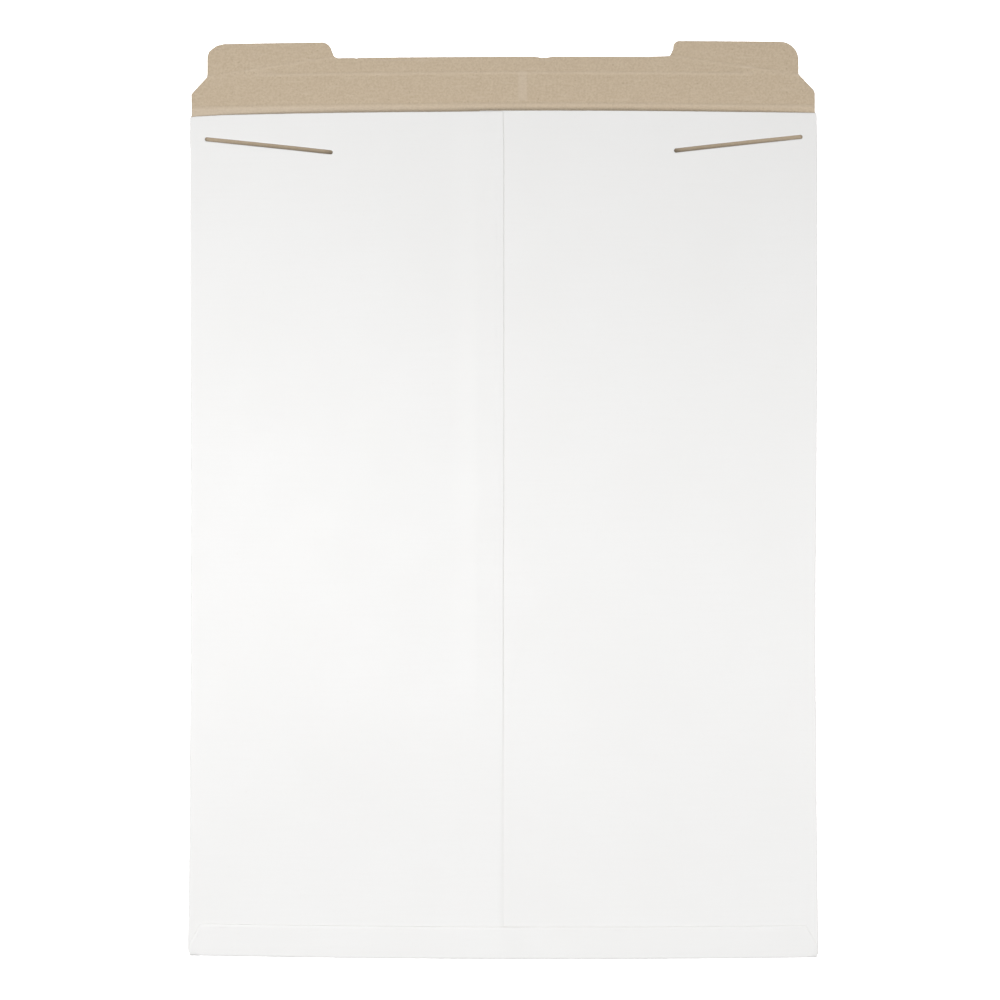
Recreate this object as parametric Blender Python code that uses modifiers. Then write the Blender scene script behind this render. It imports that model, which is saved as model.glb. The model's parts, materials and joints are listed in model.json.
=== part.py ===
"""Tab-lock photo mailer: one sheet of coated chipboard, creased, folded and glued.

Metres, +Z up. The mailer lies on its front panel with its back up and its closing
flap opened out flat. X runs across it and Y from its glued bottom to its flap. The
origin is on the underside, at the middle of the footprint.
"""

import math

import bmesh
import bpy
from mathutils import Vector

# Board and glue
card = 0.0007               # thickness of the chipboard
glue_gap = 0.0001           # glue line between two lapped panels
glue_bite = 0.0001          # how far the glue soaks into each face
glue_inset = 0.0020         # bare edge left around a glue patch

# Pouch
width = 0.4572              # across the outsides of the side folds
pouch_height = 0.6203       # bottom fold to the flap's crease
mouth_setback = 0.0053      # from the flap's crease down to the back's edge
mouth_taper = 0.0004        # how far each side draws in at the mouth
mouth_taper_length = 0.0110
fold_gap = 0.0008           # clear space inside a side fold
bulge = 0.0048              # how far the empty back stands up between its folds
bulge_rise = 0.1600         # distance up from the strip over which it rises
arch_power = 3              # shape of the rise from fold to fold
lap = 0.0175                # overlap of the two back halves
joggle = 0.0060             # length of a slope where card climbs one thickness
lap_room = 0.0005           # clear space beside a lapped edge

# Bottom strip, folded up from the front panel and glued over the back
strip_height = 0.0237
strip_clip_start = 0.0084   # height at which its clipped corners begin
strip_clip_depth = 0.0080   # how far the clip cuts in at the strip's edge
bend_room = 0.0004          # from the bottom bend to the back's lower edge

# Closing flap, measured up from its crease
flap_height = 0.0353
upper_crease = 0.0232
shoulder_start = 0.0089
shoulder_end = 0.0227
shoulder_depth = 0.0120     # how far the shoulder steps in to the tab's side
shoulder_radius = 0.0060
shoulder_top_radius = 0.0020
tab_height = 0.0108         # tab beyond the flap's straight edge
tab_width = 0.0871          # along its top edge
tab_flare = 0.0060          # how much further in the tab's root reaches
tab_inner_radius = 0.0050
tab_root_radius = 0.0036
tab_outer_radius = 0.0102   # right tab's outer corner
tab_chamfer = 0.0065        # left tab's outer corner
tab_chamfer_radius = 0.0030

# Creases pressed into the flap: a groove outside and a bead inside
crease_width = 0.0020
crease_depth = 0.00025
crease_sink = 0.00005       # middle of the rounded crease below the card's face
crease_end_gap = 0.0010     # a crease stops this far from the cut edge
crease_parting = 0.0030     # least distance between the middles of two creases

# Slots that take the tabs
slot_width = 0.0030
slot_outer_room = 0.0027    # slot beyond the tab's outer side
slot_inner_room = 0.0042    # slot beyond the tab's inner corner
slot_inner_lead = 0.0009    # inner end this much nearer the mouth than the tab's root

# Fold of the flap
hinge_gap = 0.0003          # between the pouch's and the flap's edges at the crease
flap_clearance = 0.0003     # closed flap over the top of the seam

# Facets
half_facets = 12            # across one back half
patch_facets = 4            # across one patch of glue
joggle_facets = 3           # along a slope where card climbs one thickness
rise_facets = 8             # along the rise from the bottom strip
bend_facets = 6             # round a fold
arc_facets = 6              # round a corner
crease_facets = 20          # round a pressed crease

half_width = width / 2
bend_radius = (card + fold_gap) / 2
fold_x = half_width - card / 2 - bend_radius
total_height = pouch_height + flap_height + tab_height
bottom_y = -total_height / 2
crease_y = bottom_y + pouch_height
mouth_y = crease_y - mouth_setback
strip_top_y = bottom_y + strip_height
panel_edge_y = crease_y - hinge_gap / 2
flap_half_width = fold_x - mouth_taper
tab_outer_x = flap_half_width - shoulder_depth
tab_inner_x = tab_outer_x - tab_width
tab_top = flap_height + tab_height
lap_rise = card + glue_gap
seam_top_z = 3 * card + fold_gap + bulge + glue_gap
hinge_z = (seam_top_z + flap_clearance + card + crease_depth) / 2


def smooth_step(value):
    """Ease from 0 to 1 as value goes from 0 to 1."""
    value = min(max(value, 0.0), 1.0)
    return value * value * (3 - 2 * value)


def spread(start, end, steps):
    """Evenly spaced values from start to end, both included."""
    return [start + (end - start) * step / steps for step in range(steps + 1)]


def join_runs(*runs):
    """Runs laid end to end, without the value that two of them share."""
    values = list(runs[0])
    for run in runs[1:]:
        values.extend(run[1:])
    return values


def right_back_z(x, y):
    """Middle of the card in the right back half."""
    across = 1 - min(abs(x) / fold_x, 1.0) ** arch_power
    along = smooth_step((y - strip_top_y) / bulge_rise)
    return 1.5 * card + fold_gap + bulge * across * along


def left_back_z(x, y):
    """Middle of the card in the left back half, which climbs onto the right one."""
    climb = smooth_step((x + lap + lap_room + joggle) / joggle)
    return right_back_z(x, y) + lap_rise * climb


def strip_z(x):
    """Middle of the card in the bottom strip, which follows the back below it."""
    descent = 1 - smooth_step((x - lap_room) / joggle)
    top_half = left_back_z(x, bottom_y) if x < 0 else right_back_z(x, bottom_y) + lap_rise * descent
    return top_half + lap_rise


bottom_bend_radius = (strip_z(0) - card / 2) / 2
bend_y = bottom_y + bottom_bend_radius + card / 2
back_bottom_y = bend_y + bend_room


def side_draw(y):
    """Share of its full width that the pouch keeps at height y."""
    near_mouth = smooth_step((y - mouth_y + mouth_taper_length) / mouth_taper_length)
    return 1 - near_mouth * mouth_taper / half_width


def strip_share(y):
    """Share of the panel's width that the strip keeps at height y."""
    clipped = max(0.0, (y - bottom_y - strip_clip_start) / (strip_height - strip_clip_start))
    return 1 - clipped * strip_clip_depth / fold_x


def blank_columns():
    """Lines across the blank, from the right half's hidden edge to the left half's seam."""
    ramp = lap_room + joggle
    columns = [("right back", x) for x in spread(-lap, fold_x, half_facets)]
    columns += [("right bend", math.pi * step / bend_facets) for step in range(1, bend_facets)]
    front = join_runs(
        spread(fold_x, ramp, half_facets // 2),
        spread(ramp, lap_room, joggle_facets),
        [lap_room, -lap - lap_room],
        spread(-lap - lap_room, -lap - ramp, joggle_facets),
        spread(-lap - ramp, -fold_x, half_facets // 2),
    )
    columns += [("front", x) for x in front]
    columns += [("left bend", math.pi * step / bend_facets) for step in range(1, bend_facets)]
    left = join_runs(
        spread(-fold_x, -lap - ramp, half_facets),
        spread(-lap - ramp, -lap - lap_room, joggle_facets),
        [-lap - lap_room, -lap / 2, 0.0],
    )
    columns += [("left back", x) for x in left]
    return columns


def back_rows():
    """Heights of the cross lines that the two back halves share."""
    return join_runs(
        [back_bottom_y, strip_top_y],
        spread(strip_top_y, strip_top_y + bulge_rise, rise_facets),
        [strip_top_y + bulge_rise, mouth_y - mouth_taper_length],
        spread(mouth_y - mouth_taper_length, mouth_y, joggle_facets),
    )


def blank_rows():
    """Cross lines of the blank, from the strip's free edge to the flap's crease."""
    rows = [("strip", y) for y in (strip_top_y, bottom_y + strip_clip_start, bend_y)]
    rows += [("bottom bend", math.pi * step / bend_facets) for step in range(1, bend_facets)]
    rows.append(("front", bend_y))
    rows += [("back", y) for y in back_rows()]
    rows.append(("front", panel_edge_y))
    return rows


def folded_place(column, row):
    """Where a point of the flat blank lies once the sheet is folded."""
    region, across = column
    stage, along = row
    if stage == "strip":
        x = across * strip_share(along)
        return Vector((x, along, strip_z(x)))
    if stage == "bottom bend":
        radius = (strip_z(across) - card / 2) / 2
        y = bend_y - radius * math.sin(along)
        return Vector((across, y, card / 2 + radius * (1 + math.cos(along))))
    draw = side_draw(along)
    if region == "front":
        return Vector((across * draw, along, card / 2))
    if region == "right back":
        return Vector((across * draw, along, right_back_z(across, along)))
    if region == "left back":
        return Vector((across * draw, along, left_back_z(across, along)))
    reach = (fold_x + bend_radius * math.sin(across)) * draw
    turn = math.cos(across)
    if region == "left bend":
        reach = -reach
        turn = -turn
    return Vector((reach, along, card / 2 + bend_radius * (1 + turn)))


def on_the_sheet(column, next_column, row, next_row):
    """Whether the cell between two columns and two rows is card or cut away."""
    in_back_rows = row[0] == "back" and next_row[0] == "back"
    in_front = column[0] == "front" and next_column[0] == "front"
    return in_back_rows or in_front


def mapped_grid(name, column_count, row_count, place, keep=None):
    """A grid whose points go to place(column, row), without the cells that keep refuses."""
    sheet = bmesh.new()
    bmesh.ops.create_grid(sheet, x_segments=column_count - 1, y_segments=row_count - 1, size=1)
    numbers = {}
    for vert in sheet.verts:
        column = round((vert.co.x + 1) / 2 * (column_count - 1))
        row = round((vert.co.y + 1) / 2 * (row_count - 1))
        numbers[vert] = (column, row)
    if keep:
        cut_away = []
        for face in sheet.faces:
            column = min(numbers[vert][0] for vert in face.verts)
            row = min(numbers[vert][1] for vert in face.verts)
            if not keep(column, row):
                cut_away.append(face)
        bmesh.ops.delete(sheet, geom=cut_away, context="FACES")
    for vert in sheet.verts:
        vert.co = place(*numbers[vert])
    mesh = bpy.data.meshes.new(name)
    sheet.to_mesh(mesh)
    sheet.free()
    return mesh


def board_material(name, colour, roughness):
    """Plain coated or bare board."""
    material = bpy.data.materials.new(name)
    material.use_nodes = True
    shader = material.node_tree.nodes["Principled BSDF"]
    shader.inputs["Base Color"].default_value = (*colour, 1.0)
    shader.inputs["Roughness"].default_value = roughness
    shader.inputs["Metallic"].default_value = 0.0
    return material


def add_object(name, data, collection):
    """A new object in its collection."""
    item = bpy.data.objects.new(name, data)
    collection.objects.link(item)
    return item


def add_tool(name, data, tools):
    """A shape that only cuts or joins another one."""
    item = add_object(name, data, tools)
    item.hide_render = True
    item.display_type = "WIRE"
    return item


def add_boolean(target, tool, operation):
    """Cut target with tool, or join tool to it."""
    boolean = target.modifiers.new(tool.name, "BOOLEAN")
    boolean.object = tool
    boolean.operation = operation
    boolean.solver = "EXACT"


def thicken(item, thickness):
    """Give a sheet its thickness, half on each side."""
    solidify = item.modifiers.new("card", "SOLIDIFY")
    solidify.thickness = thickness
    solidify.offset = 0
    solidify.use_even_offset = True
    return solidify


def add_glue(name, xs, ys, mid_z, pouch, tools):
    """A patch of glue between two panels, which makes them one piece."""
    mesh = mapped_grid(
        name, len(xs), len(ys), lambda i, j: Vector((xs[i], ys[j], mid_z(xs[i], ys[j])))
    )
    glue = add_tool(name, mesh, tools)
    thicken(glue, glue_gap + 2 * glue_bite)
    add_boolean(pouch, glue, "UNION")


def glue_seam(pouch, tools):
    """Glue between the left back half and the right half under it."""
    glue_rows = [y for y in back_rows() if y < mouth_y - glue_inset]
    glue_rows[0] += glue_inset
    glue_rows.append(mouth_y - glue_inset)
    add_glue(
        "seam_glue",
        [glue_inset - lap, -lap / 2, -glue_inset],
        glue_rows,
        lambda x, y: right_back_z(x, y) + lap_rise / 2,
        pouch,
        tools,
    )


def glue_strip(pouch, tools):
    """Glue under the bottom strip: over each half and over the lap between them."""
    ramp = lap_room + joggle
    strip_edge_x = fold_x - strip_clip_depth
    patches = {
        "strip_glue_left": (glue_inset - strip_edge_x, -lap - ramp - glue_inset),
        "strip_glue_lap": (glue_inset - lap, -glue_inset),
        "strip_glue_right": (ramp + glue_inset, strip_edge_x - glue_inset),
    }
    glue_rows = [back_bottom_y + glue_inset, strip_top_y - glue_inset]
    for name, (start, end) in patches.items():
        xs = spread(start, end, patch_facets)
        add_glue(name, xs, glue_rows, lambda x, y: strip_z(x) - lap_rise / 2, pouch, tools)


def rounded_outline(corners):
    """Outline through (x, y, radius) corners, with each radius as an arc."""
    outline = []
    for number, (x, y, radius) in enumerate(corners):
        corner = Vector((x, y))
        if radius == 0:
            outline.append(corner)
            continue
        before = (Vector(corners[number - 1][:2]) - corner).normalized()
        after = (Vector(corners[(number + 1) % len(corners)][:2]) - corner).normalized()
        half_angle = before.angle(after) / 2
        middle = corner + (before + after).normalized() * radius / math.sin(half_angle)
        first = (corner + before * radius / math.tan(half_angle) - middle).normalized()
        last = (corner + after * radius / math.tan(half_angle) - middle).normalized()
        for step in range(arc_facets + 1):
            outline.append(middle + first.slerp(last, step / arc_facets) * radius)
    return outline


def flat_mesh(name, outline, thickness, collection):
    """A slab with the given outline, as a closed mesh centred on its own Z."""
    curve = bpy.data.curves.new(name, "CURVE")
    curve.dimensions = "2D"
    curve.fill_mode = "BOTH"
    curve.extrude = thickness / 2
    spline = curve.splines.new("POLY")
    spline.points.add(len(outline) - 1)
    for point, place in zip(spline.points, outline):
        point.co = (place.x, place.y, 0.0, 1.0)
    spline.use_cyclic_u = True
    source = add_object(name + "_outline", curve, collection)
    depsgraph = bpy.context.evaluated_depsgraph_get()
    mesh = bpy.data.meshes.new_from_object(source.evaluated_get(depsgraph))
    mesh.name = name
    bpy.data.objects.remove(source)
    slab = bmesh.new()
    slab.from_mesh(mesh)
    bmesh.ops.remove_doubles(slab, verts=slab.verts, dist=1e-6)
    bmesh.ops.recalc_face_normals(slab, faces=slab.faces)
    slab.to_mesh(mesh)
    slab.free()
    return mesh


def slot_line(side):
    """Outer and inner ends of a slot's middle line, under the folded tab's root."""
    outer_x = tab_outer_x + slot_outer_room - slot_width / 2
    inner_x = tab_inner_x - slot_inner_room + slot_width / 2
    outer = Vector((side * outer_x, crease_y - upper_crease))
    inner = Vector((side * inner_x, crease_y - flap_height + slot_inner_lead))
    return outer, inner


def slot_outline(outer, inner):
    """Outline of a slot: a half circle round each end of its middle line."""
    heading = math.atan2(inner.y - outer.y, inner.x - outer.x)
    outline = []
    for centre, start in ((outer, heading + math.pi / 2), (inner, heading - math.pi / 2)):
        for angle in spread(start, start + math.pi, 2 * arc_facets):
            outline.append(centre + Vector((math.cos(angle), math.sin(angle))) * slot_width / 2)
    return outline


def cut_slot(name, side, pouch, tools):
    """A round-ended slot through one back half, clear of the front panel."""
    low = card + fold_gap / 2
    high = seam_top_z + card
    mesh = flat_mesh(name, slot_outline(*slot_line(side)), high - low, tools)
    slot = add_tool(name, mesh, tools)
    slot.location.z = (low + high) / 2
    add_boolean(pouch, slot, "DIFFERENCE")


def make_pouch(parts, tools, white, kraft):
    """The sheet folded into a pouch: front, two back halves, seam and bottom strip."""
    columns = blank_columns()
    rows = blank_rows()
    mesh = mapped_grid(
        "mailer_pouch",
        len(columns),
        len(rows),
        lambda i, j: folded_place(columns[i], rows[j]),
        lambda i, j: on_the_sheet(columns[i], columns[i + 1], rows[j], rows[j + 1]),
    )
    pouch = add_object("mailer_pouch", mesh, parts)
    mesh.materials.append(white)
    mesh.materials.append(kraft)
    board = thicken(pouch, card)
    board.material_offset = 1
    board.material_offset_rim = 1
    glue_seam(pouch, tools)
    glue_strip(pouch, tools)
    cut_slot("left_slot", -1, pouch, tools)
    cut_slot("right_slot", 1, pouch, tools)


def flap_outline():
    """Outline of the closing flap, with Y measured from its crease."""
    edge = hinge_gap / 2
    tab_root_x = tab_inner_x - tab_flare
    shared = [
        (flap_half_width, edge, 0),
        (flap_half_width, shoulder_start, shoulder_radius),
        (tab_outer_x, shoulder_end, shoulder_top_radius),
    ]
    inner = [
        (tab_inner_x, tab_top, tab_inner_radius),
        (tab_root_x, flap_height, tab_root_radius),
    ]
    right = shared + [(tab_outer_x, tab_top, tab_outer_radius)] + inner
    left_corner = [
        (tab_outer_x, tab_top - tab_chamfer, tab_chamfer_radius),
        (tab_outer_x - tab_chamfer, tab_top, tab_chamfer_radius),
    ]
    left = [(-x, y, radius) for x, y, radius in shared + left_corner + inner]
    return rounded_outline(right + left[::-1])


def crease_lines():
    """Ends of each pressed crease of the flap, with Y measured from its main crease."""
    root_slope = (flap_height - upper_crease) / (tab_outer_x - tab_inner_x + tab_flare)
    root_start = crease_parting / root_slope
    lines = {
        "upper_crease": ((-tab_outer_x, upper_crease), (tab_outer_x, upper_crease)),
    }
    for name, side in (("left_root_crease", -1), ("right_root_crease", 1)):
        outer_x = tab_outer_x - root_start
        outer_y = upper_crease + root_start * root_slope
        inner_x = tab_inner_x - tab_flare
        lines[name] = ((side * outer_x, outer_y), (side * inner_x, flap_height))
    return lines


def crease_rod(name, start, end, z, tools):
    """A flattened rod along a crease: it adds the bead, or cuts the groove."""
    start = Vector((*start, z))
    end = Vector((*end, z))
    bpy.ops.mesh.primitive_cylinder_add(
        vertices=crease_facets, radius=0.5, depth=(end - start).length
    )
    rod = bpy.context.object
    rod.name = name
    for collection in rod.users_collection:
        collection.objects.unlink(rod)
    tools.objects.link(rod)
    rod.hide_render = True
    rod.display_type = "WIRE"
    heading = math.atan2(end.y - start.y, end.x - start.x)
    rod.scale = (2 * (crease_depth + crease_sink), crease_width, 1)
    rod.rotation_euler = (0, math.pi / 2, heading)
    rod.location = (start + end) / 2
    return rod


def make_flap(parts, tools, kraft):
    """The closing flap with its two tuck tabs, hung from the middle of its fold."""
    hinge = add_object("flap_fold_line", None, parts)
    hinge.location = (0, crease_y, hinge_z)
    mesh = flat_mesh("closing_flap", flap_outline(), card, tools)
    flap = add_object("closing_flap", mesh, parts)
    mesh.materials.clear()
    mesh.materials.append(kraft)
    flap.parent = hinge
    flap.location.z = card / 2 - hinge_z
    for name, (start, end) in crease_lines().items():
        inset = (Vector(end) - Vector(start)).normalized() * crease_end_gap
        ends = (Vector(start) + inset, Vector(end) - inset)
        bead = crease_rod(name + "_bead", *ends, card - crease_sink - hinge_z, tools)
        groove = crease_rod(name + "_groove", *ends, crease_sink - hinge_z, tools)
        bead.parent = hinge
        groove.parent = hinge
        add_boolean(flap, bead, "UNION")
        add_boolean(flap, groove, "DIFFERENCE")


def main():
    for item in list(bpy.data.objects):
        bpy.data.objects.remove(item)
    parts = bpy.data.collections.new("photo_mailer")
    tools = bpy.data.collections.new("photo_mailer_tools")
    bpy.context.scene.collection.children.link(parts)
    bpy.context.scene.collection.children.link(tools)
    white = board_material("white_coated_board", (0.86, 0.86, 0.85), 0.45)
    kraft = board_material("kraft_board", (0.54, 0.44, 0.32), 0.85)
    make_pouch(parts, tools, white, kraft)
    make_flap(parts, tools, kraft)


main()
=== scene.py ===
"""Looks of the tab-lock photo mailer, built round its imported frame.

The sheet is drawn flat, as the die cuts it, and a formula folds it into the mailer.
Lengths are in metres. On the flat blank u runs across and v runs up; on the front
panel they are x and y.
"""

import json
import math

import bpy
import numpy as np
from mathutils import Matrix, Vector
from mathutils.geometry import delaunay_2d_cdt


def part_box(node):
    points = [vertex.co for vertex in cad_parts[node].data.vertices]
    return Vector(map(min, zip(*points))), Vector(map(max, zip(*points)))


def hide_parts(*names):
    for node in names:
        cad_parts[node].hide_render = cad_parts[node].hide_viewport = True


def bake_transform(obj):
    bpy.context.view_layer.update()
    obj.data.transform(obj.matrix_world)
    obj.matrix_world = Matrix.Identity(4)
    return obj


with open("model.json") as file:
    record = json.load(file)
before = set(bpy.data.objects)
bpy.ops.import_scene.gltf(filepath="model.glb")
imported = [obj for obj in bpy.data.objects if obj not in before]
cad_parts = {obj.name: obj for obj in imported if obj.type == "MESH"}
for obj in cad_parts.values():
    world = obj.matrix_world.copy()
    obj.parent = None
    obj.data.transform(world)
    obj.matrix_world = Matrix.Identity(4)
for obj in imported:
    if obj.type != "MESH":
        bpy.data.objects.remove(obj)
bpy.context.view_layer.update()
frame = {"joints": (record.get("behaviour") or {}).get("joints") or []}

pouch_low, pouch_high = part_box("mailer_pouch")
crease_y = frame["joints"][0]["pos_m"][1]

# Board
card = 0.0007
edge_round = 0.00010        # rounding of the board's cut edges
edge_wear = 0.0009          # width of the pressed and rubbed margin beside a cut edge
edge_press = 0.00016        # how far the die presses the white side down along a cut edge
edge_wander = 0.00005       # how far a cut edge strays from its line

# Pouch
fold_gap = 0.0008           # room between the card's two layers at a fold
glue_gap = 0.0001           # room between glued layers
half_width = (pouch_high.x - pouch_low.x) / 2
bottom_y = pouch_low.y
mouth_drop = 0.0051         # the mouth's edge lies this far below the flap's crease
mouth_y = crease_y - mouth_drop
left_mouth_drop = 0.0006    # left half's top edge lies this far below the right one's
bulge = pouch_high.z - 3 * card - fold_gap - glue_gap
bulge_rise = 0.1600         # the back's arch rises over this length above the strip
arch_power = 3              # a higher power makes the arch flatter in its middle
undulation = 0.00010        # how far the back wanders below its smooth arch
bend_room = 0.0004          # the back halves end this far above the bottom fold

# Back seam
lap = 0.0175
lap_room = 0.0005           # level stretch on either side of the lap
joggle = 0.0190             # length over which the left half climbs onto the right one
seam_press = 0.00008        # how far the left half's edge is pressed down at the seam
seam_press_width = 0.0060
low_seam_press = 0.00046    # pressed margin at the seam's bottom, where it is glued down hard
low_seam_wear = 0.0040
firm_seam_top = -0.118      # below this the seam is glued down harder, fully after the run
firm_seam_run = 0.190

# Bottom strip
strip_height = 0.0237
strip_trim = 0.0002         # the strip is this much narrower than the panel on each side
strip_clip_start = 0.0072   # its sides run straight this far before the clipped corners
strip_clip_depth = 0.0080
strip_press = 0.00030       # pressed margin of its edge, which is glued down hard
strip_wear = 0.0024

# Closing flap: heights above its crease
upper_crease = 0.0232
flap_edge = 0.0349          # straight edge between the tabs
tab_top = 0.0469
flap_lift = 0.00015         # how far the flap's middle stands off the table

# Flap's outline: corners as distance from the middle, height above the crease, rounding
right_flap_corners = [
    (0.2272, -0.0047, 0.0006),
    (0.2272, 0.0112, 0.0060),
    (0.2153, 0.0235, 0.0015),
    (0.2151, 0.0471, 0.0132),
    (0.1240, 0.0467, 0.0046),
    (0.1239, 0.0407, 0.0030),
    (0.1214, 0.0357, 0.0012),
    (0.1040, 0.0350, 0.0040),
]
left_flap_corners = [
    (0.2271, -0.0050, 0.0006),
    (0.2273, 0.0104, 0.0012),
    (0.2157, 0.0229, 0.0020),
    (0.2156, 0.0381, 0.0040),
    (0.2144, 0.0414, 0.0025),
    (0.2091, 0.0454, 0.0035),
    (0.2034, 0.0467, 0.0060),
    (0.1272, 0.0465, 0.0076),
    (0.1230, 0.0349, 0.0043),
]

# Nicks in the flap's straight edge: place of the middle, half width, depth
flap_nicks = [
    (0.0295, 0.0065, 0.0008),
    (-0.1070, 0.0016, 0.0004),
]
nick_floor = 0.3            # share of a nick's width that has its full depth
nick_round = 0.002

# Mouth's ends: corners as distance past the side fold's start or end, height above the
# mouth's edge, rounding
right_fold_start = (0.0006, 0.0006, 0.0004)
right_fold_end = (0.0016, 0.0004, 0.001)
left_fold_start = (0.0006, -0.0012, 0.0004)
left_fold_end = (0.0030, -0.0006, 0.001)
left_rise = (0.0240, 0, 0.004)
right_rise_x = 0.165        # the right half's edge rises from here to the side fold
right_rise_round = 0.02

# Other roundings of the outline, and the notch where strip, side fold and panel meet
right_half_round = 0.001
left_half_round = 0.0008
strip_round = 0.0012
clip_round = 0.0015
notch_gap = 0.0001

# Pressed creases: half width of the raised line, and how much of the full height it has
crease_height = 0.00034
main_crease_half = 0.0021
upper_crease_half = 0.0018
upper_crease_share = 0.8
root_crease_half = 0.0016
root_crease_share = 0.5

# Slanted creases at the tabs' roots: ends as x and height above the main crease
root_crease_ends = [
    ((-0.2105, 0.0235), (-0.1225, 0.0356)),
    ((0.2125, 0.0236), (0.1215, 0.0356)),
]

# Slots, from their outer to their inner end: distance from the middle, drop below the crease
slot_width = 0.0030
slot_ends = {
    -1: ((0.2175, 0.0232), (0.1243, 0.0344)),
    1: ((0.2178, 0.0225), (0.1238, 0.0337)),
}

# Bow of the real outline: growths and shrinks are shares of the distance from the middle
top_middle_growth = 0.0024
top_side_shrink = 0.0048
bottom_middle_growth = 0.0056
bottom_side_shrink = 0.0004
tilt = 0.0022               # the right side is longer by this share, and the left one shorter
waist_y = -0.12
waist_shrink = 0.0036
waist_to_top = 0.30         # the waist's shrink is gone this far above it
waist_to_foot = 0.21        # the foot's growth is complete this far below it
foot_growth = 0.0075
hip_growth = 0.0018
hip_share = 0.25            # the hip's growth is complete at this share of the way down
upper_lean = 0.0004         # how far the upper half stands to the right
lean_start = -0.06
lean_run = 0.06
lean_stop = 0.25
lean_fade = 0.03

# Cells of the mesh
panel_cell = 0.008
low_back_cell = 0.006       # the back beside the strip, and the left half over the lap
lap_cell = 0.0045           # the front panel behind the lap
strip_cell = 0.004
flap_cell = 0.003           # the flap, and the back near the mouth
near_mouth = 0.012
ramp_cell = 0.0019          # where the card climbs beside the lap
below_crease_cell = 0.0015
crease_cell = 0.00026
bend_steps = 12             # cells round a fold
arc_step = 0.0004           # longest step round an outline's corner
longest_step = 0.0015       # and along its straight stretches
undivided = 0.0009          # a shorter stretch gets no points between its ends
least_step = 0.00012
slot_end_points = 13        # points round a slot's end
margin_room = 0.95          # least gap from a margin's point to a cut edge, in margin widths
inner_room = 1.25           # the same for the other inner points
searched_room = 1.3         # how far off cut edges are looked for, in the widest margin's widths
root_room = 1.3             # the grid clears a slanted crease by this share of its half width
root_row_gap = 0.0002       # least gap between the upper crease and a slanted crease's rows
slack = 1e-6                # differences below this don't count

# Materials of the sheet's faces, by their number
white_side, kraft_side, cut_side = range(3)

bend_radius = (card + fold_gap) / 2
bend_length = math.pi * bend_radius
fold_x = half_width - card / 2 - bend_radius
fold_end = fold_x + bend_length
strip_top_y = bottom_y + strip_height
lap_rise = card + glue_gap
upper_y = crease_y + upper_crease
root_creases = [[(x, crease_y + height) for x, height in ends] for ends in root_crease_ends]


def ease(value):
    """Ease from 0 to 1 as value goes from 0 to 1."""
    value = np.clip(value, 0, 1)
    return value * value * (3 - 2 * value)


def bell(distance, half_width_of_bell):
    """1 at distance 0, falling smoothly to 0 at the given half width."""
    return 0.5 + 0.5 * np.cos(np.pi * np.clip(distance / half_width_of_bell, -1, 1))


def climb(x):
    """How far the left half has climbed onto the right one, from 0 to 1."""
    return ease((x + lap + lap_room + joggle) / joggle)


def strip_z(x):
    """Middle of the card in the bottom strip."""
    over_lap = climb(x) * (1 - ease((x - lap_room) / joggle))
    return 1.5 * card + fold_gap + lap_rise * (1 + over_lap)


bottom_bend_radius = (float(strip_z(0.0)) - card / 2) / 2
bottom_bend_length = math.pi * bottom_bend_radius
bend_y = bottom_y + bottom_bend_radius + card / 2
back_bottom_y = bend_y + bend_room
strip_start_v = bend_y - bottom_bend_length
strip_end_v = strip_start_v - (strip_top_y - bend_y)


def distance_to_line(u, v, start, end):
    """Distance from points to the stretch of line between start and end."""
    run = np.array(end) - np.array(start)
    share = ((u - start[0]) * run[0] + (v - start[1]) * run[1]) / (run @ run)
    share = np.clip(share, 0, 1)
    return np.hypot(u - start[0] - share * run[0], v - start[1] - share * run[1])


def crease_bead(u, v):
    """How far the pressed creases raise the card towards its inside, from 0 to 1."""
    main = bell(v - crease_y, main_crease_half)
    upper = bell(v - crease_y - upper_crease, upper_crease_half)
    bead = np.maximum(main, upper_crease_share * upper)
    for start, end in root_creases:
        distance = distance_to_line(u, v, start, end)
        bead = np.maximum(bead, root_crease_share * bell(distance, root_crease_half))
    return bead


def flap_rise(v):
    """The open flap touches the table at its free edge and stands off it between."""
    above = v - crease_y
    up = ease(above / upper_crease)
    down = ease((above - upper_crease) / (tab_top - upper_crease))
    return flap_lift * up * (1 - down)


def wander(x, y):
    """Slow unevenness of the back, from 0 to 1, in waves of 0.15 to 0.4 m."""
    waves = np.sin(x * 23 + 1.3) * np.sin(y * 17 - 0.4)
    waves = waves + 0.6 * np.sin(x * 9 - y * 31 + 2.1)
    waves = waves + 0.4 * np.sin(x * 41 + y * 13 + 0.7)
    return 0.5 + waves / 4


def bow(x, y):
    """Small bowing of the cut and folded outline, as the photograph shows it."""
    across = x / half_width
    upper = y > 0
    tall = np.where(upper, top_middle_growth, bottom_middle_growth) * (1 - across**2)
    tall = tall - np.where(upper, top_side_shrink, bottom_side_shrink) * across**2 + tilt * across
    low = np.clip((waist_y - y) / waist_to_foot, 0, 1)
    high = np.clip((y - waist_y) / waist_to_top, 0, 1)
    wide = -waist_shrink + waist_shrink * ease(high)
    wide = wide + hip_growth * ease(low / hip_share) + foot_growth * low**2
    lean = upper_lean * ease((y - lean_start) / lean_run) * (1 - ease((y - lean_stop) / lean_fade))
    return x * (1 + wide) + lean, y * (1 + tall)


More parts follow.
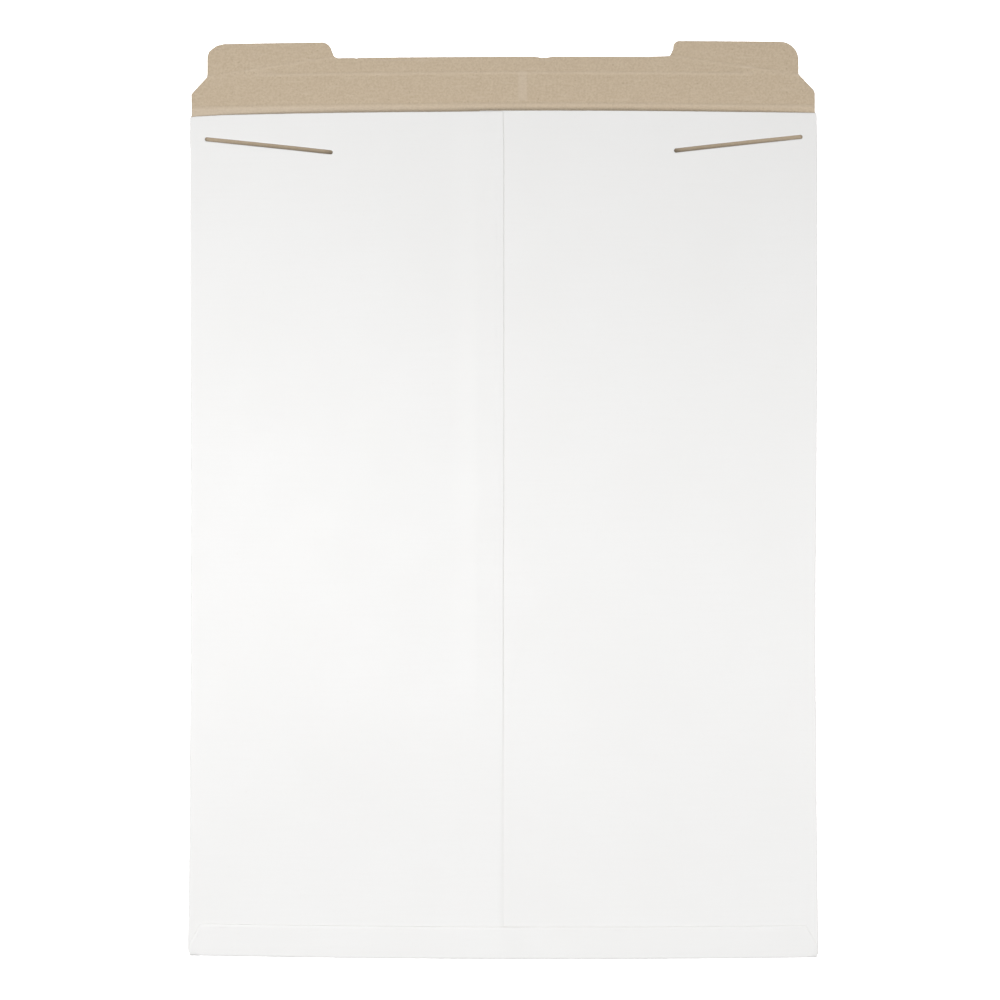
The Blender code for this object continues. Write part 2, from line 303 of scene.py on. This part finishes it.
def fold(u, v):
    """Places of the middle of the card once folded, for points of the blank."""
    side = np.where(u < 0, -1.0, 1.0)
    reach = np.abs(u)
    turn = np.clip((reach - fold_x) / bend_length, 0, 1) * np.pi
    past = np.maximum(reach - fold_x - bend_length, 0)
    x = side * (np.minimum(reach, fold_x) + bend_radius * np.sin(turn) - past)
    y = v.copy()
    z = card / 2 + bend_radius * (1 - np.cos(turn))

    across = 1 - np.minimum(np.abs(x) / fold_x, 1) ** arch_power
    along = ease((y - strip_top_y) / bulge_rise)
    raised = (bulge - undulation * wander(x, y)) * across * along
    pressed_down = seam_press * ease((x + seam_press_width) / seam_press_width)
    raised = raised + np.where(side < 0, lap_rise * climb(x) - pressed_down, 0)
    z = z + np.where(past > 0, raised, 0)

    pressed_up = crease_height * crease_bead(u, v) + flap_rise(v)
    z = z + pressed_up

    tuck = np.clip((bend_y - v) / bottom_bend_length, 0, 1) * np.pi
    past_bottom = np.maximum(strip_start_v - v, 0)
    radius = (strip_z(x) - card / 2) / 2
    low = v < bend_y
    y = np.where(low, bend_y - bottom_bend_radius * np.sin(tuck) + past_bottom, y)
    z = np.where(low, card / 2 + radius * (1 - np.cos(tuck)), z)
    x, y = bow(x, y)
    return np.stack([x, y, z], axis=1)


def frame_of(u, v):
    """Folded places, the outward direction there, and the two directions in the card."""
    step = 2e-5
    along_u = fold(u + step, v) - fold(u - step, v)
    along_v = fold(u, v + step) - fold(u, v - step)
    outward = -np.cross(along_u, along_v)
    lengths = [np.linalg.norm(a, axis=1, keepdims=True) for a in (outward, along_u, along_v)]
    return fold(u, v), outward / lengths[0], along_u / lengths[1], along_v / lengths[2]


def spread(start, end, gap):
    """Evenly spaced values from start to end, about gap apart."""
    steps = max(1, math.ceil(abs(end - start) / gap - slack))
    return np.linspace(start, end, steps + 1)


def lines_of(*runs):
    """Sorted values of several runs, without doubles."""
    values = np.sort(np.concatenate(runs))
    return values[np.concatenate([[True], np.diff(values) > slack])]


def blank_u(x, side):
    """Where a place x on a back half lies across the blank."""
    return side * (fold_end + fold_x - side * x)


# Columns and rows of the mesh on the blank
ramp = lap_room + joggle
right_end_u = blank_u(-lap, 1)
left_end_u = blank_u(0.0, -1)
front_us = lines_of(
    spread(-fold_x, -lap - ramp, panel_cell),
    spread(-lap - ramp, -lap - lap_room, ramp_cell),
    spread(-lap - lap_room, lap_room, lap_cell),
    spread(lap_room, ramp, ramp_cell),
    spread(ramp, fold_x, panel_cell),
)
bend_us = spread(fold_x, fold_end, bend_length / bend_steps)
right_us = lines_of(bend_us, spread(fold_end, right_end_u, panel_cell))
left_us = lines_of(
    -bend_us,
    spread(-fold_end, blank_u(-lap - ramp, -1), panel_cell),
    spread(blank_u(-lap - ramp, -1), blank_u(-lap - lap_room, -1), ramp_cell),
    spread(blank_u(-lap - lap_room, -1), left_end_u, low_back_cell),
)
strip_vs = lines_of(
    spread(strip_end_v, strip_start_v, strip_cell),
    spread(strip_start_v, bend_y, bottom_bend_length / bend_steps),
)
back_vs = lines_of(
    spread(back_bottom_y, strip_top_y, low_back_cell),
    spread(strip_top_y, mouth_y - near_mouth, panel_cell),
    spread(mouth_y - near_mouth, mouth_y, flap_cell),
)
flap_vs = lines_of(
    spread(mouth_y, crease_y - main_crease_half, below_crease_cell),
    spread(crease_y - main_crease_half, crease_y + main_crease_half, crease_cell),
    spread(crease_y + main_crease_half, upper_y - upper_crease_half, flap_cell),
    spread(upper_y - upper_crease_half, upper_y + upper_crease_half, crease_cell),
    spread(upper_y + upper_crease_half, crease_y + tab_top, flap_cell),
)
regions = (
    (front_us, np.concatenate([strip_vs, back_vs, flap_vs])),
    (right_us, back_vs),
    (left_us, back_vs),
)


def rounded(corners):
    """Points through (u, v, radius) corners, with each radius as an arc."""
    points = []
    for number, (u, v, radius) in enumerate(corners):
        corner = np.array([u, v])
        if radius == 0:
            points.append(corner)
            continue
        before = np.array(corners[number - 1][:2]) - corner
        after = np.array(corners[(number + 1) % len(corners)][:2]) - corner
        before = before / np.linalg.norm(before)
        after = after / np.linalg.norm(after)
        half_angle = math.acos(float(np.clip(before @ after, -1, 1))) / 2
        towards = (before + after) / np.linalg.norm(before + after)
        middle = corner + towards * radius / math.sin(half_angle)
        first = corner + before * radius / math.tan(half_angle) - middle
        last = corner + after * radius / math.tan(half_angle) - middle
        swing = math.atan2(first[0] * last[1] - first[1] * last[0], first @ last)
        steps = max(3, math.ceil(abs(swing) * radius / arc_step))
        for turn in np.linspace(0, swing, steps + 1):
            cos, sin = math.cos(turn), math.sin(turn)
            spun = (first[0] * cos - first[1] * sin, first[0] * sin + first[1] * cos)
            points.append(middle + np.array(spun))
    return points


def crossed_by_lines(start, end):
    """Shares of the way from start to end at which the mesh's lines cross it."""
    no_run = 1e-7
    shares = []
    columns = ((0, front_us), (0, right_us), (0, left_us))
    rows = ((1, strip_vs), (1, back_vs), (1, flap_vs))
    for axis, values in columns + rows:
        run = end[axis] - start[axis]
        if abs(run) < no_run:
            continue
        found = (values - start[axis]) / run
        shares.extend(found[(found > 0) & (found < 1)])
    return sorted(shares)


def divided(points):
    """The closed outline with a point wherever the mesh's lines cross it, and between."""
    result = []
    for number, start in enumerate(points):
        end = points[(number + 1) % len(points)]
        length = np.linalg.norm(end - start)
        result.append(start)
        if length < undivided:
            continue
        shares = crossed_by_lines(start, end) + list(spread(0, 1, longest_step / length))
        last = 0.0
        for share in sorted(shares):
            if (share - last) * length > least_step and (1 - share) * length > least_step:
                result.append(start + (end - start) * share)
                last = share
    return np.array(result)


def inset_of(loop, depth):
    """The loop moved in by depth, towards the card on its left, and its outward normals."""
    before = loop - np.roll(loop, 1, axis=0)
    after = np.roll(loop, -1, axis=0) - loop
    before /= np.linalg.norm(before, axis=1, keepdims=True)
    after /= np.linalg.norm(after, axis=1, keepdims=True)
    run = before + after
    run /= np.linalg.norm(run, axis=1, keepdims=True)
    outward = np.stack([run[:, 1], -run[:, 0]], axis=1)
    return loop - outward * depth, outward


def strayed(loop):
    """The loop with the slight wander of a worn cutting die, in waves of 3 to 10 mm."""
    _, outward = inset_of(loop, 0)
    along = np.cumsum(np.linalg.norm(loop - np.roll(loop, 1, axis=0), axis=1)) * 1000
    waves = np.sin(along * 0.61) + 0.7 * np.sin(along * 1.37 + 1) + 0.5 * np.sin(along * 2.3 + 2)
    return loop + outward * (waves * edge_wander / 2)[:, None]


def flap_points(corners, side):
    """Flap corners as places on the blank."""
    return [(side * x, crease_y + height, radius) for x, height, radius in corners]


def nicks():
    """Corners of the shallow nicks in the flap's straight edge, from right to left."""
    points = []
    for middle, half_span, depth in flap_nicks:
        for share, drop in ((1, 0), (nick_floor, depth), (-nick_floor, depth), (-1, 0)):
            points.append((middle + share * half_span, crease_y + flap_edge - drop, nick_round))
    return points


def mouth_corner(corner, fold_u, edge_y, side):
    """A corner of a mouth's end as a place on the blank, from a place on the side fold."""
    past, height, radius = corner
    return side * (fold_u + past), edge_y + height, radius


def blank_outline():
    """The die-cut outline of the whole sheet, counterclockwise."""
    strip_half = fold_x - strip_trim
    clip_v = strip_start_v - strip_clip_start
    left_mouth_y = mouth_y - left_mouth_drop
    outline = [
        (fold_x - strip_clip_depth, strip_end_v, strip_round),
        (strip_half, clip_v, clip_round),
        (strip_half, bend_y + notch_gap, 0),
        (fold_x + notch_gap, back_bottom_y, 0),
        (right_end_u, back_bottom_y, right_half_round),
        (right_end_u, mouth_y, right_half_round),
        (blank_u(right_rise_x, 1), mouth_y, right_rise_round),
        mouth_corner(right_fold_end, fold_end, mouth_y, 1),
        mouth_corner(right_fold_start, fold_x, mouth_y, 1),
    ]
    outline += flap_points(right_flap_corners, 1) + nicks()
    outline += flap_points(left_flap_corners, -1)[::-1]
    outline += [
        mouth_corner(left_fold_start, fold_x, left_mouth_y, -1),
        mouth_corner(left_fold_end, fold_end, left_mouth_y, -1),
        mouth_corner(left_rise, fold_end, left_mouth_y, -1),
        (left_end_u, left_mouth_y, left_half_round),
        (left_end_u, back_bottom_y, left_half_round),
        (-fold_x - notch_gap, back_bottom_y, 0),
        (-strip_half, bend_y + notch_gap, 0),
        (-strip_half, clip_v, clip_round),
        (-fold_x + strip_clip_depth, strip_end_v, strip_round),
    ]
    return strayed(divided(rounded(outline)))


def slot_outline(side):
    """A slot in one back half, clockwise, so that the card is on its left."""
    (outer_x, outer_drop), (inner_x, inner_drop) = slot_ends[side]
    half = slot_width / 2
    outer = np.array([blank_u(side * (outer_x - half), side), crease_y - outer_drop])
    inner = np.array([blank_u(side * (inner_x + half), side), crease_y - inner_drop])
    heading = math.atan2(inner[1] - outer[1], inner[0] - outer[0])
    points = []
    for centre, start in ((outer, heading + math.pi / 2), (inner, heading - math.pi / 2)):
        for angle in np.linspace(start, start + math.pi, slot_end_points):
            points.append(centre + half * np.array([math.cos(angle), math.sin(angle)]))
    return divided(points)[::-1]


def inside(points, loops):
    """Whether points lie on the card: inside the outline and in no slot."""
    crossings = np.zeros(len(points), int)
    for loop in loops:
        for (u0, v0), (u1, v1) in zip(loop, np.roll(loop, -1, axis=0)):
            if v0 == v1:
                continue
            spans = (points[:, 1] > v0) != (points[:, 1] > v1)
            at = u0 + (points[:, 1] - v0) * (u1 - u0) / (v1 - v0)
            crossings += spans & (points[:, 0] < at)
    return crossings % 2 == 1


def gap_to_loops(points, loops, reach):
    """Distance from points to the nearest loop, counted up to the given reach."""
    gap = np.full(len(points), reach)
    for loop in loops:
        for start, end in zip(loop, np.roll(loop, -1, axis=0)):
            low = np.minimum(start, end) - reach
            high = np.maximum(start, end) + reach
            close = np.where(((points >= low) & (points <= high)).all(axis=1))[0]
            if len(close):
                distance = distance_to_line(points[close, 0], points[close, 1], start, end)
                gap[close] = np.minimum(gap[close], distance)
    return gap


def root_rows(start, end):
    """Points in rows along a slanted crease."""
    start, end = np.array(start), np.array(end)
    run = (end - start) / np.linalg.norm(end - start)
    across = np.array([-run[1], run[0]])
    points = []
    for along in spread(0, np.linalg.norm(end - start), flap_cell):
        for offset in spread(-root_crease_half, root_crease_half, crease_cell):
            points.append(start + run * along + across * offset)
    return np.array(points)


def lattice():
    """Points of the blank: a grid for each region and rows along slanted creases."""
    grids = []
    for us, vs in regions:
        grid_u, grid_v = np.meshgrid(us, np.unique(vs))
        grids.append(np.stack([grid_u.ravel(), grid_v.ravel()], axis=1))
    digits = 7
    points = np.unique(np.round(np.concatenate(grids), digits), axis=0)
    upper_top = upper_y + upper_crease_half
    for start, end in root_creases:
        distance = distance_to_line(points[:, 0], points[:, 1], start, end)
        by_root = (points[:, 1] > upper_top + slack) & (distance < root_crease_half * root_room)
        points = points[~by_root]
    rows = np.concatenate([root_rows(*ends) for ends in root_creases])
    rows = rows[rows[:, 1] > upper_top + root_row_gap]
    return np.concatenate([points, rows])


def pressed_margin(points):
    """Depth and width of the pressed margin beside the cut edge nearest to points."""
    on_strip = points[:, 1] < strip_start_v
    at_seam = points[:, 0] < left_end_u + 1.5 * low_seam_wear
    firm = at_seam * ease((firm_seam_top - points[:, 1]) / firm_seam_run)
    depth = edge_press + (low_seam_press - edge_press) * firm
    width = edge_wear + (low_seam_wear - edge_wear) * firm
    return np.where(on_strip, strip_press, depth), np.where(on_strip, strip_wear, width)


def inner_points(loops):
    """Points within the cut edges: those of the lattice, and the margins' inner sides."""
    _, width = pressed_margin(np.concatenate(loops))
    split_at = np.cumsum([len(loop) for loop in loops])[:-1]
    widths = np.split(width[:, None], split_at)
    margin = np.concatenate([inset_of(*pair)[0] for pair in zip(loops, widths)])
    reach = low_seam_wear * searched_room
    margin = margin[gap_to_loops(margin, loops, reach) > pressed_margin(margin)[1] * margin_room]
    far = lattice()
    far = far[gap_to_loops(far, loops, reach) > pressed_margin(far)[1] * inner_room]
    points = np.concatenate([far, margin])
    return points[inside(points, loops)]


def edges_of(loops):
    """Pairs of neighbouring points round each loop."""
    edges = []
    first = 0
    for loop in loops:
        count = len(loop)
        edges += [(first + i, first + (i + 1) % count) for i in range(count)]
        first += count
    return edges


def triangulated(flat, edges, loops):
    """Triangles over the card, which keep to the cut edges."""
    scaled = [Vector((u * 1000, v * 1000)) for u, v in flat]
    made = delaunay_2d_cdt(scaled, edges, [], 0, slack)
    if len(made[0]) != len(flat):
        raise RuntimeError(f"the outline crosses itself: {len(made[0])} {len(flat)}")
    triangles = np.array([tuple(face) for face in made[2]])
    centres = flat[triangles].mean(axis=1)
    return triangles[inside(centres, loops)]


def folded_points(loops, flat):
    """Places, normals and sheet coordinates of the white side, the kraft side and the rims."""
    rim_flat = np.concatenate(loops)
    rim = len(rim_flat)
    insets = [inset_of(loop, edge_round) for loop in loops]
    outward_flat = np.concatenate([outward for _, outward in insets])
    face_flat = flat.copy()
    face_flat[:rim] = np.concatenate([moved for moved, _ in insets])
    place, out, _, _ = frame_of(face_flat[:, 0], face_flat[:, 1])
    rim_place, rim_out, along_u, along_v = frame_of(rim_flat[:, 0], rim_flat[:, 1])
    rim_normal = along_u * outward_flat[:, :1] + along_v * outward_flat[:, 1:]
    rim_normal /= np.linalg.norm(rim_normal, axis=1, keepdims=True)

    half = card / 2
    press, width = pressed_margin(rim_flat)
    slope = 2 * press / width       # at its edge a round margin is twice as steep as on average
    white_normal = out.copy()
    white_normal[:rim] += rim_normal * slope[:, None]
    white_normal /= np.linalg.norm(white_normal, axis=1, keepdims=True)
    white_depth = np.full(len(flat), half)
    white_depth[:rim] -= press
    kraft_depth = np.full(len(flat), -half)
    rim_top = half - press - edge_round
    rim_low = np.full(rim, edge_round - half)

    depth = np.concatenate([white_depth, kraft_depth, rim_top, rim_low])
    middles = np.concatenate([place, place, rim_place, rim_place])
    verts = middles + np.concatenate([out, out, rim_out, rim_out]) * depth[:, None]
    normals = np.concatenate([white_normal, -out, rim_normal, rim_normal])
    sheet_uv = np.concatenate([face_flat, face_flat, rim_flat, rim_flat])
    return verts, normals, np.column_stack([sheet_uv, depth])


def faces_of(triangles, edges, count):
    """Faces of both sides and of the rounded rims between them, and their materials."""
    rim = len(edges)
    faces = [tuple(t[::-1]) for t in triangles]
    faces += [tuple(t + count) for t in triangles]
    kinds = [white_side] * len(triangles) + [kraft_side] * len(triangles)
    for a, b in edges:
        top_a, top_b = 2 * count + a, 2 * count + b
        low_a, low_b = top_a + rim, top_b + rim
        faces += [(a, b, top_b, top_a), (top_a, top_b, low_b, low_a)]
        faces += [(low_a, low_b, count + b, count + a)]
        kinds += [white_side, cut_side, kraft_side]
    return [tuple(int(i) for i in face) for face in faces], kinds


def build_sheet():
    """The whole folded sheet as one closed mesh with rounded cut edges."""
    loops = [blank_outline(), slot_outline(-1), slot_outline(1)]
    edges = edges_of(loops)
    flat = np.concatenate(loops + [inner_points(loops)])
    triangles = triangulated(flat, edges, loops)
    verts, normals, coordinates = folded_points(loops, flat)
    faces, kinds = faces_of(triangles, edges, len(flat))
    wear = np.zeros(len(flat))
    wear[: len(edges)] = 1

    mesh = bpy.data.meshes.new("folded_sheet")
    mesh.from_pydata(verts.tolist(), [], faces)
    mesh.polygons.foreach_set("material_index", np.array(kinds, np.int32))
    mesh.polygons.foreach_set("use_smooth", np.ones(len(faces), bool))
    corner_verts = np.zeros(len(mesh.loops), np.int32)
    mesh.loops.foreach_get("vertex_index", corner_verts)
    mesh.normals_split_custom_set(normals[corner_verts].tolist())
    where = mesh.attributes.new("sheet", "FLOAT_VECTOR", "POINT")
    where.data.foreach_set("vector", coordinates.astype(np.float32).ravel())
    marks = {
        "bead": crease_bead(coordinates[:, 0], coordinates[:, 1]),
        "wear": np.concatenate([wear, wear, np.ones(2 * len(edges))]),
    }
    for name, values in marks.items():
        mark = mesh.attributes.new(name, "FLOAT", "POINT")
        mark.data.foreach_set("value", values.astype(np.float32))
    mesh.validate()
    sheet = bpy.data.objects.new("folded_sheet", mesh)
    bpy.context.scene.collection.objects.link(sheet)
    return sheet


# Colours of the clay coat
coat_dull = (0.879, 0.875, 0.865)
coat_bright = (0.890, 0.887, 0.879)
coat_streak = (0.870, 0.865, 0.855)
coat_speck = (0.83, 0.815, 0.79)

# Colours of the kraft face
kraft_dark = (0.530, 0.424, 0.302)
kraft_light = (0.610, 0.502, 0.368)
kraft_patch = (0.560, 0.450, 0.323)
kraft_hair = (0.640, 0.535, 0.410)
kraft_fleck = (0.380, 0.290, 0.200)
kraft_rubbed = (0.680, 0.580, 0.470)
kraft_shaded = (0.370, 0.295, 0.215)
kraft_painted_light = (0.700, 0.610, 0.500)
kraft_crease = (0.680, 0.575, 0.450)
kraft_worn = (0.330, 0.270, 0.210)

# Colours of the cut edge
pulp_dark = (0.470, 0.390, 0.300)
pulp_light = (0.620, 0.545, 0.445)
pulp_pale = (0.700, 0.650, 0.570)
coat_dragged = (0.870, 0.860, 0.840)

# Marks, painted shade and painted light on the kraft face: from, to, softness of their ends
seam_mark_across = (0.0118, 0.0165, 0.0015)
seam_mark_up = (crease_y + 0.004, upper_y, 0.002)
# painted light: the kraft between the mouth's edge and the flap's crease is made lighter,
# strongest on the left
painted_light_band_up = (crease_y - 0.0070, crease_y - 0.0014, 0.0012)
painted_light_band_fade = (-0.20, 0.12)     # the band is strongest at the first x and faint at the second
pouch_shade = (mouth_y - 0.012, mouth_y - 0.002)    # full below the first, none above the second

grain_depth = 0.0002        # height of the finest relief at full strength


class Graph:
    """Short calls for making the nodes of one material."""

    def __init__(self, name):
        self.material = bpy.data.materials.new(name)
        self.material.use_nodes = True
        self.tree = self.material.node_tree
        self.shader = self.tree.nodes["Principled BSDF"]

    def add(self, kind, inputs=None, **settings):
        """A node with its settings and inputs; an input is a value or another node's output."""
        made = self.tree.nodes.new(kind)
        for key, value in settings.items():
            setattr(made, key, value)
        for key, value in (inputs or {}).items():
            self.put(made.inputs[key], value)
        return made

    def put(self, socket, value):
        """Link or set one input."""
        if isinstance(value, bpy.types.NodeSocket):
            self.tree.links.new(value, socket)
        else:
            socket.default_value = value

    def where(self, stretch):
        """Coordinates on the flat sheet, stretched along u, v and depth."""
        place = self.add("ShaderNodeAttribute", attribute_name="sheet")
        inputs = {0: place.outputs["Vector"], 1: stretch}
        scaled = self.add("ShaderNodeVectorMath", inputs, operation="MULTIPLY")
        return scaled.outputs["Vector"]

    def noise(self, scale, detail, roughness=0.55, stretch=(1, 1, 1)):
        """Noise over the flat sheet; scale is in features a metre."""
        inputs = {"Vector": self.where(stretch), "Scale": scale}
        inputs.update({"Detail": detail, "Roughness": roughness})
        return self.add("ShaderNodeTexNoise", inputs).outputs["Fac"]

    def math(self, operation, a, b):
        """One arithmetic step."""
        return self.add("ShaderNodeMath", {0: a, 1: b}, operation=operation).outputs["Value"]

    def between(self, value, low, high, low_to=0.0, high_to=1.0):
        """Value mapped from low..high to low_to..high_to, smoothly and held there."""
        inputs = {"Value": value, "From Min": low, "From Max": high}
        inputs.update({"To Min": low_to, "To Max": high_to})
        made = self.add("ShaderNodeMapRange", inputs, interpolation_type="SMOOTHSTEP")
        return made.outputs["Result"]

    def mix(self, share, a, b):
        """Colour a where share is 0 and b where it is 1."""
        made = self.add("ShaderNodeMix", {"Factor": share}, data_type="RGBA")
        for socket, colour in ((made.inputs[6], a), (made.inputs[7], b)):
            linked = isinstance(colour, bpy.types.NodeSocket)
            self.put(socket, colour if linked else (*colour, 1.0))
        return made.outputs[2]

    def across_and_up(self):
        """The two coordinates on the flat sheet."""
        place = self.add("ShaderNodeAttribute", attribute_name="sheet")
        parts = self.add("ShaderNodeSeparateXYZ", {0: place.outputs["Vector"]})
        return parts.outputs["X"], parts.outputs["Y"]

    def mark(self, name):
        """A value kept at the mesh's points."""
        return self.add("ShaderNodeAttribute", attribute_name=name).outputs["Fac"]

    def within(self, value, low, high, soft):
        """1 between low and high, fading out over soft on either side."""
        rise = self.between(value, low - soft, low)
        fall = self.between(value, high, high + soft, 1, 0)
        return self.math("MULTIPLY", rise, fall)

    def bump(self, height, strength):
        """Bump from a height, into the shader."""
        inputs = {"Height": height, "Strength": strength, "Distance": grain_depth}
        made = self.add("ShaderNodeBump", inputs)
        self.put(self.shader.inputs["Normal"], made.outputs["Normal"])

    def surface(self, colour, roughness, specular):
        """Colour, roughness and strength of the sheen, into the shader."""
        self.put(self.shader.inputs["Base Color"], colour)
        self.put(self.shader.inputs["Roughness"], roughness)
        self.put(self.shader.inputs["Specular IOR Level"], specular)


def white_coat():
    """Clay coat: near white, faintly cloudy and streaked, with a soft satin sheen."""
    g = Graph("white_clay_coat")
    cloud = g.noise(9, 4)
    grain = g.noise(420, 2)
    streak = g.noise(60, 3, stretch=(0.35, 9, 1))
    colour = g.mix(g.between(cloud, 0.3, 0.7), coat_dull, coat_bright)
    colour = g.mix(g.between(streak, 0.35, 0.75, 0, 0.28), colour, coat_streak)
    colour = g.mix(g.between(grain, 0.62, 0.8, 0, 0.25), colour, coat_speck)
    roughness = g.between(g.noise(25, 3), 0.3, 0.7, 0.335, 0.365)
    g.surface(colour, roughness, specular=0.30)
    height = g.math("ADD", g.math("MULTIPLY", grain, 0.6), g.math("MULTIPLY", streak, 0.8))
    g.bump(height, strength=0.12)
    return g.material


def kraft_face():
    """Bare inside face: fine mottled fibre, dark flecks, a few pale hairs, rubs, painted shade
    inside the pouch and painted light beside the mouth.
    """
    g = Graph("kraft_inside")
    mottle = g.noise(650, 3, 0.6)
    patch = g.noise(90, 3)
    grainline = g.noise(300, 2, stretch=(0.25, 1.6, 1))
    fleck = g.noise(520, 1, 0.3)
    colour = g.mix(g.between(mottle, 0.32, 0.68), kraft_dark, kraft_light)
    colour = g.mix(g.between(patch, 0.3, 0.7, 0, 0.35), colour, kraft_patch)
    colour = g.mix(g.between(grainline, 0.55, 0.72, 0, 0.35), colour, kraft_hair)
    colour = g.mix(g.between(fleck, 0.68, 0.80, 0, 0.45), colour, kraft_fleck)

    across, up = g.across_and_up()
    rubbed = g.math("MULTIPLY", g.within(across, *seam_mark_across), g.within(up, *seam_mark_up))
    colour = g.mix(g.math("MULTIPLY", rubbed, 0.30), colour, kraft_rubbed)
    colour = g.mix(g.between(up, *pouch_shade, 0.42, 0), colour, kraft_shaded)
    # painted light beside the mouth, strongest on the left side
    painted_light_fading = g.between(across, *painted_light_band_fade, 0.35, 0.08)
    painted_light_by_mouth = g.math("MULTIPLY", g.within(up, *painted_light_band_up), painted_light_fading)
    colour = g.mix(painted_light_by_mouth, colour, kraft_painted_light)
    colour = g.mix(g.math("MULTIPLY", g.mark("bead"), 0.35), colour, kraft_crease)
    colour = g.mix(g.math("MULTIPLY", g.mark("wear"), 0.30), colour, kraft_worn)
    g.surface(colour, roughness=0.86, specular=0.25)
    g.bump(g.math("ADD", mottle, g.math("MULTIPLY", grainline, 0.7)), strength=0.25)
    return g.material


def cut_edge():
    """Cut edge of the board: pulp in fine layers, with white coat dragged over it low down."""
    g = Graph("cut_board_edge")
    layers = g.noise(400, 3, stretch=(0.4, 0.4, 22))
    pulp = g.noise(900, 2)
    colour = g.mix(g.between(layers, 0.35, 0.65), pulp_dark, pulp_light)
    colour = g.mix(g.between(pulp, 0.6, 0.75, 0, 0.5), colour, pulp_pale)
    _, up = g.across_and_up()
    dragged = g.between(up, firm_seam_top - firm_seam_run, firm_seam_top, 0.8, 0)
    colour = g.mix(dragged, colour, coat_dragged)
    g.surface(colour, roughness=0.9, specular=0.2)
    g.bump(g.math("ADD", layers, pulp), strength=0.4)
    return g.material


# Table and lights. Each light: name, place, width and height, power
table_white = (0.9, 0.9, 0.9, 1.0)
table_glow = 0.80
table_reach = 6.0
table_z = -0.0002
sky_strength = 0.05
light_target = (0, -0.12, 0)
lights = [
    ("left_front", (-0.37, -0.03, 2.0), (0.3, 0.7), 8.2),
    ("right_front", (0.40, -0.08, 2.0), (0.3, 0.7), 2.8),
    ("left_side", (-1.0, -0.15, 1.5), (0.8, 0.8), 11.7),
    ("right_side", (1.0, -0.15, 1.5), (0.8, 0.8), 11.1),
    ("near_top", (0.0, -0.8, 2.0), (0.8, 0.8), 5.3),
    ("far_left", (-0.8, 0.9, 0.6), (0.8, 0.8), 1.5),
]


def floor_material():
    """Plain white table that stays bright under the object."""
    g = Graph("white_table")
    g.surface(table_white, roughness=0.9, specular=0.1)
    g.put(g.shader.inputs["Emission Color"], (1.0, 1.0, 1.0, 1.0))
    g.put(g.shader.inputs["Emission Strength"], table_glow)
    return g.material


def add_floor():
    """The table that the mailer lies on."""
    mesh = bpy.data.meshes.new("table")
    signs = ((-1, -1), (1, -1), (1, 1), (-1, 1))
    corners = [(x * table_reach, y * table_reach, table_z) for x, y in signs]
    mesh.from_pydata(corners, [], [(0, 1, 2, 3)])
    mesh.materials.append(floor_material())
    floor = bpy.data.objects.new("table", mesh)
    bpy.context.scene.collection.objects.link(floor)


def add_light(name, place, size, power):
    """A rectangular soft light of the given width and height, aimed at the mailer."""
    data = bpy.data.lights.new(name, "AREA")
    data.shape = "RECTANGLE"
    data.size, data.size_y = size
    data.energy = power
    light = bpy.data.objects.new(name, data)
    light.location = place
    light.rotation_mode = "QUATERNION"
    heading = Vector(light_target) - Vector(place)
    light.rotation_quaternion = heading.to_track_quat("-Z", "Y")
    bpy.context.scene.collection.objects.link(light)


def set_light():
    """Soft lights, an even sky, and a plain view transform."""
    world = bpy.data.worlds.new("studio")
    world.use_nodes = True
    background = world.node_tree.nodes["Background"]
    background.inputs["Color"].default_value = (1.0, 1.0, 1.0, 1.0)
    background.inputs["Strength"].default_value = sky_strength
    bpy.context.scene.world = world
    bpy.context.scene.view_settings.view_transform = "Standard"
    for light in lights:
        add_light(*light)


# The photograph's frame: metres a pixel, and the pixel over the frame's origin
metres_per_pixel = 0.0007292
origin_pixel = (503.2, 499.5)
image_size = 1000
camera_height = 2.0
camera_sight = 100          # how far off the camera still sees things


def add_camera():
    """Camera straight above, with a lens that gives the photograph's framing."""
    data = bpy.data.cameras.new("camera")
    data.lens = data.sensor_width * camera_height / (metres_per_pixel * image_size)
    data.clip_end = camera_sight
    camera = bpy.data.objects.new("camera", data)
    x = (image_size / 2 - origin_pixel[0]) * metres_per_pixel
    y = (origin_pixel[1] - image_size / 2) * metres_per_pixel
    camera.location = (x, y, camera_height)
    bpy.context.scene.collection.objects.link(camera)
    bpy.context.scene.camera = camera


def main():
    """The dressed mailer on its table, with camera and lights."""
    sheet = build_sheet()
    for material in (white_coat(), kraft_face(), cut_edge()):
        sheet.data.materials.append(material)
    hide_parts("mailer_pouch", "closing_flap")
    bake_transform(sheet)
    add_floor()
    add_camera()
    set_light()


main()
